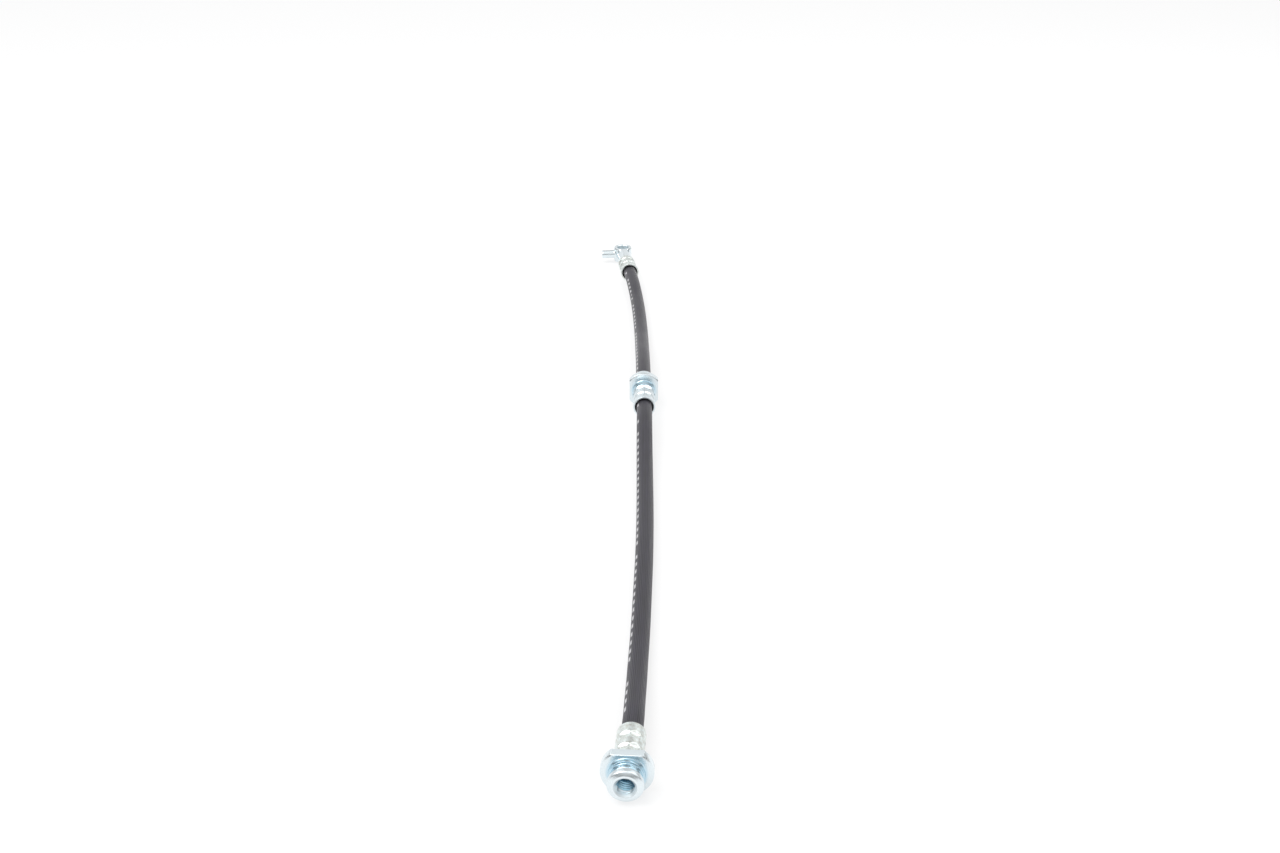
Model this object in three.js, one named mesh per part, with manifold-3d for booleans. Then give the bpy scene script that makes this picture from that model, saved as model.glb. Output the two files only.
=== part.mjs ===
// Hydraulic brake hose, in millimetres, +Z up, lying on a table at z = 0.
// One rubber hose runs from a threaded inlet fitting, through a sleeve that the car's bracket
// holds, to a banjo eye. The inlet end points along -Y and the eye lies flat at the +Y end.
import * as THREE from "three";
import { mergeVertices } from "three/addons/utils/BufferGeometryUtils.js";
import Module from "manifold-3d";

const wasm = await Module();
wasm.setup();

// Fits between pieces, and how finely round shapes are cut
const clearance = 0.3;
const weldReach = 1e-5;
const turnedSides = 48;
const pinSides = 32;

// Rubber hose
const hoseDiameter = 10.5;
const hoseBore = 3.5;
const hoseSides = 12;
const hoseBoreSides = 8;
const hoseSteps = 48;
const hoseMouthLead = 12;
const routeDivisions = 2000;

// Crimped shells, measured from the closed base to the open mouth
const shellLength = 24.5;
const shellWall = 1.55;
const shellEdge = 0.35;
const crimpedWall = 0.65;
const crimpFloor = 2.0;
const crimpSlope = 0.62;
const crimpPitch = 9.1;
const crimpToMouth = 8.85;
const jawCount = 8;
const jawRidge = 0.24;
const jawRidgeSharpness = 2.2;
const flareSpread = 0.5;
const flareWall = 1.3;
const flareLength = 3.6;
const flareRimLength = 1.2;
const flareBoreLength = 1.8;
const flareTaperLength = 5.4;
const lipThickness = 1.5;

// Tail that a fitting holds its shell with: a neck in the shell's lip, and a head behind it
const tailNeckRadius = 4.3;
const tailHeadRadius = 5.1;
const tailHeadLength = 1.5;

// Steel insert in the bore of the hose
const insertDiameter = 2.9;
const insertBore = 2.0;
const insertInHose = 17;
const insertInTail = 4;

// Flange that both the inlet and the sleeve carry, with two flats for a spanner
const flangeRadius = 12.5;
const flangeThickness = 4.7;
const flangeChamfer = 0.8;
const flangeEdge = 0.5;
const acrossFlats = 20;

// Spigot in front of a flange: seat in the bracket, groove for the clip, and collar
const spigotRadius = 8.5;
const spigotEdge = 1.0;
const spigotFaceRadius = 6.5;
const inletSeatLength = 2.3;
const inletCollarLength = 3.8;
const sleeveSeatLength = 2.9;
const sleeveCollarLength = 4.4;
const clipGrooveWidth = 4.4;
const clipGrooveDepth = 1.0;
const grooveStepWidth = 1.3;
const grooveStepDepth = 0.45;

// Inlet socket, bored for the M10 thread of a pipe nut
const threadBoreRadius = 4.25;
const countersinkRadius = 5.5;
const socketDepth = 11.6;
const seatConeDepth = 1.3;
const seatBoreRadius = 1.6;

// Crimped barrel of the sleeve
const sleeveNeckRadius = 7.65;
const sleeveBarrelLength = 28;

// Banjo eye, its neck and its side pin
const eyeRadius = 7.75;
const eyeHeight = 12;
const eyeHoleRadius = 5;
const eyeEdge = 0.8;
const eyeHoleEdge = 0.4;
const banjoNeckRadius = 6.3;
const banjoNeckEdge = 0.5;
const banjoReach = 25.2;
const oilwayRadius = 1.5;
const pinRadius = 3.45;
const pinReach = 18.5;
const pinEdge = 0.5;
const pinRootRadius = 5.9;
const pinRootReach = 4.6;
const pinRootEnd = 9.2;
const pinRootSteps = 6;

// Radii of the shells, from the hose outwards
const shellBoreRadius = hoseDiameter / 2 + clearance;
const shellRadius = shellBoreRadius + shellWall;
const crimpRadius = shellBoreRadius + crimpedWall;
const flareRadius = shellRadius + flareSpread;
const flareBoreRadius = flareRadius - flareWall;

// Distance from the inlet's nose to the eye's centre, and the shares of it that lie in front of
// the origin and behind it, up to the sleeve
const noseToEye = 736.6;
const inletShare = 0.505;
const sleeveShare = 0.0783;

// Where each fitting lies: its own centre, and how far its axis turns from +Y towards +X
const degree = Math.PI / 180;
const inletPlace = { at: [3.9, -inletShare * noseToEye, acrossFlats / 2], yaw: 4 * degree };
const sleevePlace = { at: [13.3, sleeveShare * noseToEye, flangeRadius], yaw: -0.5 * degree };
const banjoPlace = { at: [-4.6, (1 - inletShare) * noseToEye, flareRadius], yaw: -7.5 * degree };

// Route of the hose between its fittings, chosen by hand: across and up in millimetres, and the
// middle number along, as a share of the distance from nose to eye
const frontRoute = [
  [8.1, -0.4142, 8.7], [8.9, -0.3881, 7.0], [9.6, -0.3619, 5.9], [10.4, -0.3361, 5.45],
  [11.1, -0.3103, 5.4], [11.7, -0.2832, 5.4], [12.3, -0.2547, 5.4], [12.9, -0.2248, 5.4],
  [13.3, -0.1936, 5.4], [13.6, -0.161, 5.4], [13.7, -0.1284, 5.5], [13.7, -0.0972, 5.9],
  [13.65, -0.066, 7.0], [13.6, -0.0361, 8.8], [13.6, -0.0076, 11.0], [13.62, 0.0109, 12.1],
];
const rearRoute = [
  [12.85, 0.1438, 11.9], [12.55, 0.1702, 10.6], [12.2, 0.2001, 8.6], [11.7, 0.2354, 6.5],
  [10.9, 0.2721, 5.5], [9.6, 0.3128, 5.4], [7.9, 0.3494, 5.7], [5.6, 0.3847, 7.0],
];

// Other radii and lengths that follow from the sizes above
const lipRadius = tailNeckRadius + clearance;
const tailNeckLength = lipThickness + 2 * clearance;
const tailLength = tailNeckLength + tailHeadLength;
const hoseFromShoulder = tailLength + clearance;
const mouthFromShoulder = clearance + shellLength;
const grooveRadius = spigotRadius - clipGrooveDepth;
const inletShoulder = inletCollarLength + clipGrooveWidth + inletSeatLength + flangeThickness;
const sleeveSpigotLength = sleeveCollarLength + clipGrooveWidth + sleeveSeatLength;
const sleeveLength = sleeveBarrelLength + flangeThickness + sleeveSpigotLength;
const insertHoleRadius = insertDiameter / 2 + clearance;

const zincSteel = { color: 0xbfcdd4, metalness: 1, roughness: 0.24 };
const crimpedSteel = { color: 0xb7bbb4, metalness: 1, roughness: 0.42 };
const bareSteel = { color: 0x9fa3a6, metalness: 1, roughness: 0.35 };
const blackRubber = { color: 0x1d1c1f, metalness: 0, roughness: 0.62 };

// Solid turned about the Y axis from [radius, along] points, outside first, inside last
function turned(outline, sides = turnedSides) {
  const points = [...outline, outline[0]].map(([radius, along]) => new THREE.Vector2(radius, along));
  return welded(new THREE.LatheGeometry(points, sides));
}

function welded(geometry) {
  geometry.deleteAttribute("normal");
  geometry.deleteAttribute("uv");
  return mergeVertices(geometry, weldReach);
}

function solidOf(geometry) {
  return new wasm.Manifold(new wasm.Mesh({
    numProp: 3,
    vertProperties: new Float32Array(geometry.attributes.position.array),
    triVerts: new Uint32Array(geometry.index.array),
  }));
}

function geometryOf(solid) {
  const mesh = solid.getMesh();
  const geometry = new THREE.BufferGeometry();
  geometry.setAttribute("position", new THREE.BufferAttribute(mesh.vertProperties, 3));
  geometry.setIndex(new THREE.BufferAttribute(mesh.triVerts, 1));
  return geometry;
}

// Two flats cut across a fitting, square to its local X or Z axis
function cutFlats(geometry, axis, length) {
  const width = 4 * flangeRadius;
  const size = axis === "x" ? [acrossFlats, 4 * length, width] : [width, 4 * length, acrossFlats];
  return geometryOf(solidOf(geometry).intersect(solidOf(welded(new THREE.BoxGeometry(...size)))));
}

// How far a jaw's sloping wall reaches along a shell, from its floor up to this radius
function wallLength(radius) {
  return (radius - crimpRadius) / crimpSlope;
}

// Rows along a shell where one band of jaws closes on it, at the shell's own radius on each side
function bandRows(centre, baseRadius) {
  const floor = crimpFloor / 2;
  const [baseWall, mouthWall] = [wallLength(baseRadius), wallLength(shellRadius)];
  return [
    [baseRadius, centre - floor - baseWall],
    [baseRadius, centre - floor - baseWall / 2],
    [baseRadius, centre - floor],
    [shellRadius, centre],
    [shellRadius, centre + floor],
    [shellRadius, centre + floor + mouthWall / 2],
    [shellRadius, centre + floor + mouthWall],
  ];
}

// Outside of a shell up to its mouth, which is plain or flared, before the jaws close on it
function shellOutside(mouthAt, baseRadius, flared) {
  const outer = mouthAt - crimpToMouth;
  const outside = [...bandRows(outer - crimpPitch, baseRadius), ...bandRows(outer, shellRadius)];
  if (!flared) return [...outside, [shellRadius, mouthAt - shellEdge], [shellRadius - shellEdge, mouthAt]];
  return [
    ...outside,
    [shellRadius, mouthAt - flareLength],
    [flareRadius, mouthAt - flareRimLength],
    [flareRadius, mouthAt - shellEdge],
    [flareRadius - shellEdge, mouthAt],
  ];
}

function shellMouthInside(mouthAt, flared) {
  if (!flared) return [[shellBoreRadius + shellEdge, mouthAt], [shellBoreRadius, mouthAt - shellEdge]];
  return [
    [flareBoreRadius, mouthAt],
    [flareBoreRadius, mouthAt - flareBoreLength],
    [shellBoreRadius, mouthAt - flareTaperLength],
  ];
}

// Radius that the jaws leave at this turn about the axis: flat facets with a ridge between two
function jawRadius(turn) {
  const sector = (2 * Math.PI) / jawCount;
  const fromRidge = Math.abs(turn - Math.round(turn / sector) * sector);
  const ridge = Math.max(0, 1 - jawRidgeSharpness * Math.sin((jawCount / 2) * fromRidge));
  return crimpRadius / Math.cos(sector / 2 - fromRidge) + jawRidge * ridge;
}

// Closes the jaws on the outside of a shell, in two bands
function closeJaws(geometry, mouthAt, baseRadius) {
  const place = geometry.attributes.position;
  const bands = [mouthAt - crimpToMouth, mouthAt - crimpToMouth - crimpPitch];
  for (let i = 0; i < place.count; i += 1) {
    const [x, along, z] = [place.getX(i), place.getY(i), place.getZ(i)];
    const fromBand = Math.min(...bands.map((centre) => Math.abs(along - centre)));
    const fromFloor = Math.max(0, fromBand - crimpFloor / 2);
    const radius = Math.hypot(x, z);
    if (fromFloor > wallLength(baseRadius) || radius < crimpRadius) continue;
    const pressed = jawRadius(Math.atan2(x, z)) + fromFloor * crimpSlope;
    const scale = Math.min(1, pressed / radius);
    place.setXYZ(i, x * scale, along, z * scale);
  }
  return geometry;
}

// Separate shell with an inward lip at its base, which grips the tail of a fitting
function crimpedShell(flared) {
  const outline = [
    [lipRadius, 0],
    [shellRadius - shellEdge, 0],
    [shellRadius, shellEdge],
    ...shellOutside(shellLength, shellRadius, flared),
    ...shellMouthInside(shellLength, flared),
    [shellBoreRadius, lipThickness],
    [lipRadius, lipThickness],
  ];
  return closeJaws(turned(outline), shellLength, shellRadius);
}

// Tail of a fitting past its shoulder, from the outside in to the insert's seat
function tailOutside(shoulder) {
  return [
    [tailNeckRadius, shoulder],
    [tailNeckRadius, shoulder + tailNeckLength],
    [tailHeadRadius, shoulder + tailNeckLength],
    [tailHeadRadius, shoulder + tailLength],
  ];
}

// Collar, clip groove and seat of a spigot, from its face up to the flange
function spigotOutside(collarLength, seatLength) {
  const grooveEnd = collarLength + clipGrooveWidth;
  return [
    [spigotFaceRadius, 0],
    [spigotRadius, spigotEdge],
    [spigotRadius, collarLength],
    [grooveRadius - grooveStepDepth, collarLength],
    [grooveRadius - grooveStepDepth, collarLength + grooveStepWidth],
    [grooveRadius, collarLength + grooveStepWidth],
    [grooveRadius, grooveEnd],
    [spigotRadius, grooveEnd],
    [spigotRadius, grooveEnd + seatLength],
  ];
}

function flangeOutside(face) {
  return [
    [flangeRadius - flangeChamfer, face],
    [flangeRadius, face + flangeEdge],
    [flangeRadius, face + flangeThickness],
  ];
}

// Inlet fitting: nose at y = 0, threaded socket inside, tail towards +Y
function inletFitting() {
  const seatFace = inletShoulder - flangeThickness;
  const tailEnd = inletShoulder + tailLength;
  const outline = [
    ...spigotOutside(inletCollarLength, inletSeatLength),
    ...flangeOutside(seatFace),
    ...tailOutside(inletShoulder),
    [insertHoleRadius, tailEnd],
    [insertHoleRadius, tailEnd - insertInTail],
    [insertBore / 2, tailEnd - insertInTail],
    [insertBore / 2, socketDepth + seatConeDepth + clearance],
    [seatBoreRadius, socketDepth + seatConeDepth],
    [threadBoreRadius, socketDepth],
    [threadBoreRadius, countersinkRadius - threadBoreRadius],
    [countersinkRadius, 0],
  ];
  return cutFlats(turned(outline), "z", tailEnd);
}

// Sleeve that the car's bracket holds: spigot face at y = 0, crimped barrel towards +Y
function bracketSleeve() {
  const seatFace = sleeveSpigotLength;
  const barrel = seatFace + flangeThickness;
  const outline = [
    [shellBoreRadius + shellEdge, 0],
    ...spigotOutside(sleeveCollarLength, sleeveSeatLength),
    [flangeRadius, seatFace],
    [flangeRadius, barrel - flangeEdge],
    [flangeRadius - flangeChamfer, barrel],
    [sleeveNeckRadius, barrel],
    ...shellOutside(sleeveLength, sleeveNeckRadius, true),
    ...shellMouthInside(sleeveLength, true),
    [shellBoreRadius, shellEdge],
  ];
  const crimped = closeJaws(turned(outline), sleeveLength, sleeveNeckRadius);
  return cutFlats(crimped, "x", sleeveLength);
}

// Side pin of the banjo, with the curved root that grows into the eye, along local Y
function sidePin() {
  const root = [];
  for (let i = 0; i <= pinRootSteps; i += 1) {
    const turn = (i / pinRootSteps) * (Math.PI / 2);
    const radius = pinRootRadius - (pinRootRadius - pinRadius) * Math.sin(turn);
    const along = pinRootEnd - (pinRootEnd - pinRootReach) * Math.cos(turn);
    root.push([radius, along]);
  }
  return turned([[0, 0], [pinRootRadius, 0], ...root, [pinRadius, pinReach - pinEdge],
    [pinRadius - pinEdge, pinReach], [0, pinReach]], pinSides);
}

// Banjo fitting: eye at the origin with its hole along Z, neck towards +Y, pin towards +X
function banjoFitting() {
  const half = eyeHeight / 2;
  const barrel = turned([
    [0, -half], [eyeRadius - eyeEdge, -half], [eyeRadius, eyeEdge - half],
    [eyeRadius, half - eyeEdge], [eyeRadius - eyeEdge, half], [0, half],
  ]).rotateX(Math.PI / 2);
  const neck = turned([
    [0, 0], [banjoNeckRadius, 0], [banjoNeckRadius, banjoReach - banjoNeckEdge],
    [banjoNeckRadius - banjoNeckEdge, banjoReach], ...tailOutside(banjoReach),
    [0, banjoReach + tailLength],
  ]);
  const hole = turned([
    [0, -eyeHeight], [2 * eyeHoleRadius, -eyeHeight], [eyeHoleRadius + eyeHoleEdge, -half],
    [eyeHoleRadius, eyeHoleEdge - half], [eyeHoleRadius, half - eyeHoleEdge],
    [eyeHoleRadius + eyeHoleEdge, half], [2 * eyeHoleRadius, eyeHeight], [0, eyeHeight],
  ]).rotateX(Math.PI / 2);
  const insertSeat = banjoReach + tailLength - insertInTail;
  const oilway = turned([
    [0, 0], [oilwayRadius, 0], [oilwayRadius, insertSeat], [insertHoleRadius, insertSeat],
    [insertHoleRadius, 2 * banjoReach], [0, 2 * banjoReach],
  ]);
  const body = solidOf(barrel)
    .add(solidOf(neck))
    .add(solidOf(sidePin().rotateZ(-Math.PI / 2)))
    .subtract(solidOf(hole))
    .subtract(solidOf(oilway));
  return geometryOf(body);
}

// Steel tube from its seat in a fitting's tail into the bore of the hose
function hoseInsert(tailEnd) {
  const from = tailEnd - insertInTail + clearance;
  const to = tailEnd + insertInHose;
  const [outer, inner] = [insertDiameter / 2, insertBore / 2];
  return turned([
    [inner, from], [outer, from], [outer, to - clearance], [outer - clearance / 2, to], [inner, to],
  ], hoseSides);
}

// Point on a fitting's axis, a distance towards +Y from its own centre
function alongAxis({ at, yaw }, distance) {
  const [x, y, z] = at;
  return [x + distance * Math.sin(yaw), y + distance * Math.cos(yaw), z];
}

function alongRoute([across, share, up]) {
  return [across, share * noseToEye, up];
}

function hoseRoute() {
  const inlet = (distance) => alongAxis(inletPlace, distance);
  const sleeve = (distance) => alongAxis(sleevePlace, distance);
  const banjo = (distance) => alongAxis(banjoPlace, -distance);
  const inletMouth = inletShoulder + mouthFromShoulder;
  const banjoMouth = banjoReach + mouthFromShoulder;
  const spigotEnd = sleeveLength - sleeveBarrelLength;
  return [
    inlet(inletShoulder + hoseFromShoulder), inlet(inletMouth), inlet(inletMouth + hoseMouthLead),
    ...frontRoute.map(alongRoute),
    sleeve(-sleeveBarrelLength - hoseMouthLead), sleeve(-sleeveBarrelLength), sleeve(0),
    sleeve(spigotEnd), sleeve(spigotEnd + hoseMouthLead),
    ...rearRoute.map(alongRoute),
    banjo(banjoMouth + hoseMouthLead), banjo(banjoMouth), banjo(banjoReach + hoseFromShoulder),
  ].map((point) => new THREE.Vector3(...point));
}

function ring(radius, sides) {
  return Array.from({ length: sides }, (_, i) => {
    const turn = (2 * Math.PI * i) / sides;
    return new THREE.Vector2(radius * Math.cos(turn), radius * Math.sin(turn));
  });
}

function rubberHose() {
  const section = new THREE.Shape(ring(hoseDiameter / 2, hoseSides));
  const boreRadius = hoseBore / 2 / Math.cos(Math.PI / hoseBoreSides);
  section.holes.push(new THREE.Path(ring(boreRadius, hoseBoreSides)));
  const path = new THREE.CatmullRomCurve3(hoseRoute(), false, "centripetal");
  path.arcLengthDivisions = routeDivisions;
  return welded(new THREE.ExtrudeGeometry(section, { steps: hoseSteps, extrudePath: path }));
}

function piece(name, geometry, finish) {
  const mesh = new THREE.Mesh(geometry, new THREE.MeshStandardMaterial(finish));
  mesh.name = name;
  return mesh;
}

// Shell and insert that join the hose to a fitting whose shoulder is at this distance
function hoseJoint(prefix, shoulder, flared) {
  const shell = piece(`${prefix}_ferrule`, crimpedShell(flared), crimpedSteel);
  shell.position.y = shoulder + clearance;
  const insert = piece(`${prefix}_insert`, hoseInsert(shoulder + tailLength), bareSteel);
  return [shell, insert];
}

function placed({ at, yaw }, turn, ...meshes) {
  const holder = new THREE.Group();
  holder.position.set(...at);
  holder.rotation.z = turn - yaw;
  holder.add(...meshes);
  return holder;
}

const sleeve = piece("bracket_sleeve", bracketSleeve(), zincSteel);
sleeve.position.y = -(sleeveSpigotLength + flangeThickness);

const group = new THREE.Group();
group.add(
  placed(inletPlace, 0, piece("inlet_fitting", inletFitting(), zincSteel),
    ...hoseJoint("inlet", inletShoulder, false)),
  placed(sleevePlace, Math.PI, sleeve),
  placed(banjoPlace, Math.PI, piece("banjo_fitting", banjoFitting(), zincSteel),
    ...hoseJoint("banjo", banjoReach, true)),
  piece("hose", rubberHose(), blackRubber),
);

export default group;
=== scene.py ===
"""Looks of a hydraulic brake hose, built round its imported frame.

A rubber hose runs from a threaded inlet fitting, through a sleeve for the car's bracket, to a
banjo eye. Everything is in metres in the frame's own axes. Outlines of turned pieces are written
in millimetres, as [radius, distance along the axis, rounding of that corner].
"""

import math

import bmesh
import bpy
import numpy as np
from bpy.props import FloatProperty, FloatVectorProperty, IntProperty, PointerProperty
from mathutils import Matrix, Vector


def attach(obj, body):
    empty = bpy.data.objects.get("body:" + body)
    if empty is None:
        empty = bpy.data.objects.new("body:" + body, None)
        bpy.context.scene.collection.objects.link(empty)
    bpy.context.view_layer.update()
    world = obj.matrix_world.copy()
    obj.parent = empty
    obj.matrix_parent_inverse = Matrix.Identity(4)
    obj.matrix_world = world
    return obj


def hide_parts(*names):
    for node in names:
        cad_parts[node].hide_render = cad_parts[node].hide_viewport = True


bl_info = {
    "name": "Brake Hose",
    "version": (1, 0, 0),
    "blender": (4, 5, 0),
    "location": "View3D > Sidebar > Brake Hose",
    "description": "Builds a hydraulic brake hose with crimped fittings round its packed frame",
    "category": "Object",
}

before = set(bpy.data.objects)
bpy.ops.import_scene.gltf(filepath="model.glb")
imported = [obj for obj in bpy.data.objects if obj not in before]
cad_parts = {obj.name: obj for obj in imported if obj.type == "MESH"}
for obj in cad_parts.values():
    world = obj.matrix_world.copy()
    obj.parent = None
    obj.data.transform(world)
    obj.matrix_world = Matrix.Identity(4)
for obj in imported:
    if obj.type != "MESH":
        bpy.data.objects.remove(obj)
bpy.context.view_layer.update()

MM = 0.001
TURN = 2 * math.pi

# Sizes that the pieces share with the frame, in millimetres
HOSE_DIAMETER = 10.5
HOSE_BORE = 3.5
CLEARANCE = 0.3
SHELL_BORE = HOSE_DIAMETER / 2 + CLEARANCE
SHELL_LENGTH = 24.5
SHELL_RADIUS = 7.1
CRIMP_RADIUS = 6.2
CRIMP_FLOOR = 2.0
CRIMP_SLOPE = 0.62
CRIMP_PITCH = 9.1
CRIMP_TO_MOUTH = 8.85
JAWS = 8
JAW_RIDGE = 0.24
FLARE_RADIUS = 7.6
FLARE_BORE = 6.3
FLARE_LENGTH = 3.6
LIP_THICKNESS = 1.5
TAIL_NECK_RADIUS = 4.3
TAIL_HEAD_RADIUS = 5.1
TAIL_NECK_LENGTH = LIP_THICKNESS + 2 * CLEARANCE
TAIL_LENGTH = TAIL_NECK_LENGTH + 1.5
TAIL_BORE_RADIUS = 1.75
TAIL_BORE_DEPTH = 4
LIP_HOLE_RADIUS = 4.6
FLANGE_RADIUS = 12.5
FLANGE_THICKNESS = 4.7
FLANGE_CHAMFER = 0.8
FLANGE_EDGE = 0.5
HALF_FLATS = 10.0
SPIGOT_RADIUS = 8.5
SPIGOT_FACE_RADIUS = 6.5
CLIP_GROOVE_WIDTH = 4.4
GROOVE_RADIUS = 7.5
GROOVE_STEP = 0.45
INLET_COLLAR = 3.8
INLET_SEAT = 2.3
INLET_SHOULDER = INLET_COLLAR + CLIP_GROOVE_WIDTH + INLET_SEAT + FLANGE_THICKNESS
INLET_OILWAY_RADIUS = 1.0
THREAD_RADIUS = 4.25
THREAD_DEPTH = 0.7
SOCKET_DEPTH = 11.6
COUNTERSINK_RADIUS = 5.5
COUNTERSINK_DEPTH = 1.25
SLEEVE_COLLAR = 4.4
SLEEVE_SEAT = 2.9
SLEEVE_SPIGOT = SLEEVE_COLLAR + CLIP_GROOVE_WIDTH + SLEEVE_SEAT
SLEEVE_BARREL = 28.0
SLEEVE_NECK_RADIUS = 7.65
SLEEVE_LENGTH = SLEEVE_SPIGOT + FLANGE_THICKNESS + SLEEVE_BARREL
BANJO_REACH = 25.2
EYE_RADIUS = 7.75
EYE_HALF_HEIGHT = 6.0
EYE_HOLE_RADIUS = 5.0
BANJO_NECK_RADIUS = 6.3
PIN_RADIUS = 3.45
PIN_REACH = 18.5
PIN_ROOT_RADIUS = 5.9
PIN_ROOT_END = 9.2
PIN_ROOT_LENGTH = 4.6
BANJO_OILWAY_RADIUS = 1.5
MOUTH_LEAD = 12.0

# How finely the pieces are drawn, in millimetres and in sides
FINE_ROW = 0.16
COARSE_ROW = 2.0
TURNED_SIDES = 192
SHELL_SIDES = 240
BANJO_SIDES = 160
POINTS_PER_RIB = 6
FORGING_VOXEL = 0.24
FORGING_PASSES = 6

# Lay line on the hose: its place round it as a share of a turn, and its dashes in millimetres
LAY_LINE_AT = 0.34
DASH_PITCH = 8.0

FRAME_PIXELS = 1280
TABLE_HALF = 20.0

# Where each fitting lies: its own centre in millimetres, and its turn from +Y towards +X
NOSE_TO_EYE = 736.6
INLET_SHARE = 0.505
SLEEVE_SHARE = 0.0783
INLET = (Vector((3.9, -INLET_SHARE * NOSE_TO_EYE, HALF_FLATS)), math.radians(4))
SLEEVE = (Vector((13.3, SLEEVE_SHARE * NOSE_TO_EYE, FLANGE_RADIUS)), math.radians(-0.5))
BANJO = (Vector((-4.6, (1 - INLET_SHARE) * NOSE_TO_EYE, FLARE_RADIUS)), math.radians(-7.5))

# Route of the hose between its fittings: across and up in millimetres, and the middle number
# along, as a share of the distance from nose to eye
FRONT_ROUTE = [
    (8.1, -0.4142, 8.7), (8.9, -0.3881, 7.0), (9.6, -0.3619, 5.9), (10.4, -0.3361, 5.45),
    (11.1, -0.3103, 5.4), (11.7, -0.2832, 5.4), (12.3, -0.2547, 5.4), (12.9, -0.2248, 5.4),
    (13.3, -0.1936, 5.4), (13.6, -0.161, 5.4), (13.7, -0.1284, 5.5), (13.7, -0.0972, 5.9),
    (13.65, -0.066, 7.0), (13.6, -0.0361, 8.8), (13.6, -0.0076, 11.0), (13.62, 0.0109, 12.1),
]
REAR_ROUTE = [
    (12.85, 0.1438, 11.9), (12.55, 0.1702, 10.6), (12.2, 0.2001, 8.6), (11.7, 0.2354, 6.5),
    (10.9, 0.2721, 5.5), (9.6, 0.3128, 5.4), (7.9, 0.3494, 5.7), (5.6, 0.3847, 7.0),
]


class HoseSettings(bpy.types.PropertyGroup):
    """Sizes and colours of the rubber hose."""

    diameter: FloatProperty(
        name="Diameter", description="Outside diameter of the hose", unit="LENGTH",
        default=HOSE_DIAMETER * MM, min=0.005, max=0.02)
    rib_count: IntProperty(
        name="Ribs", description="Fine ribs round the hose", default=34, min=12, max=60)
    rib_depth: FloatProperty(
        name="Rib depth", description="Height of a rib over its valley", unit="LENGTH",
        default=0.00016, min=0.0, max=0.0005)
    rubber: FloatVectorProperty(
        name="Rubber", description="Colour of the cover", subtype="COLOR",
        default=(0.012, 0.011, 0.016), min=0, max=1)
    marks: FloatVectorProperty(
        name="Marks", description="Colour of the lay line's dashes", subtype="COLOR",
        default=(0.56, 0.56, 0.58), min=0, max=1)


class SteelSettings(bpy.types.PropertyGroup):
    """Colours of the plated and crimped steel."""

    zinc: FloatVectorProperty(
        name="Zinc", description="Bright zinc plate", subtype="COLOR",
        default=(0.80, 0.87, 0.90), min=0, max=1)
    # Deeper blue laid into grooves, bores and round the spigot: partly passivation, partly painted
    # shade.
    passivate_shade: FloatVectorProperty(
        name="Passivate", description="Blue film on the plate", subtype="COLOR",
        default=(0.36, 0.62, 0.77), min=0, max=1)
    crimped: FloatVectorProperty(
        name="Crimped", description="Plate that the jaws have dulled", subtype="COLOR",
        default=(0.78, 0.81, 0.79), min=0, max=1)
    thread_pitch: FloatProperty(
        name="Thread pitch", description="Pitch of the inlet's thread", unit="LENGTH",
        default=0.0015, min=0.0005, max=0.002)


class StageSettings(bpy.types.PropertyGroup):
    """Where the camera stands, and how bright the table is."""

    camera_height: FloatProperty(
        name="Camera height", description="Height of the lens over the table", unit="LENGTH",
        default=0.450, min=0.1, max=2)
    camera_pitch: FloatProperty(
        name="Camera pitch", description="How far the lens looks down", subtype="ANGLE",
        default=math.radians(25.5), min=0, max=math.radians(90))
    camera_distance: FloatProperty(
        name="Camera distance", description="How far the lens stands in front of the centre",
        unit="LENGTH", default=0.9183, min=0.3, max=3)
    camera_side: FloatProperty(
        name="Camera side", description="How far the lens stands to the right", unit="LENGTH",
        default=0.0106, min=-1, max=1)
    focal_pixels: FloatProperty(
        name="Focal length", description="Focal length in pixels of the 1280 pixel frame",
        default=1525, min=400, max=6000)
    table: FloatVectorProperty(
        name="Table", description="Colour of the table", subtype="COLOR",
        default=(0.93, 0.93, 0.935), min=0, max=1)


class Wire:
    """A shader socket that takes part in Python arithmetic."""

    def __init__(self, finish, socket):
        self.finish = finish
        self.socket = socket

    def math(self, operation, *values):
        sockets = dict(enumerate(values))
        return self.finish.node("ShaderNodeMath", {"operation": operation}, sockets)

    def __add__(self, other):
        return self.math("ADD", self, other)

    def __sub__(self, other):
        return self.math("SUBTRACT", self, other)

    def __rsub__(self, other):
        return self.math("SUBTRACT", other, self)

    def __mul__(self, other):
        return self.math("MULTIPLY", self, other)

    def __truediv__(self, other):
        return self.math("DIVIDE", self, other)

    def __pow__(self, other):
        return self.math("POWER", self, other)

    def __abs__(self):
        return self.math("ABSOLUTE", self)

    __radd__ = __add__

    def fraction(self):
        return self.math("FRACT", self)

    def largest(self, other):
        return self.math("MAXIMUM", self, other)

    def rise(self, low, high):
        """0 below low, 1 above high, and a smooth step between them."""
        settings = {"interpolation_type": "SMOOTHSTEP"}
        return self.finish.node(
            "ShaderNodeMapRange", settings, {"Value": self, "From Min": low, "From Max": high})

    def blend(self, low, high):
        """Colour that goes from low to high as this value goes from 0 to 1."""
        sockets = {"Factor": self, 6: low, 7: high}
        return self.finish.node("ShaderNodeMix", {"data_type": "RGBA"}, sockets, output=2)


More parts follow.
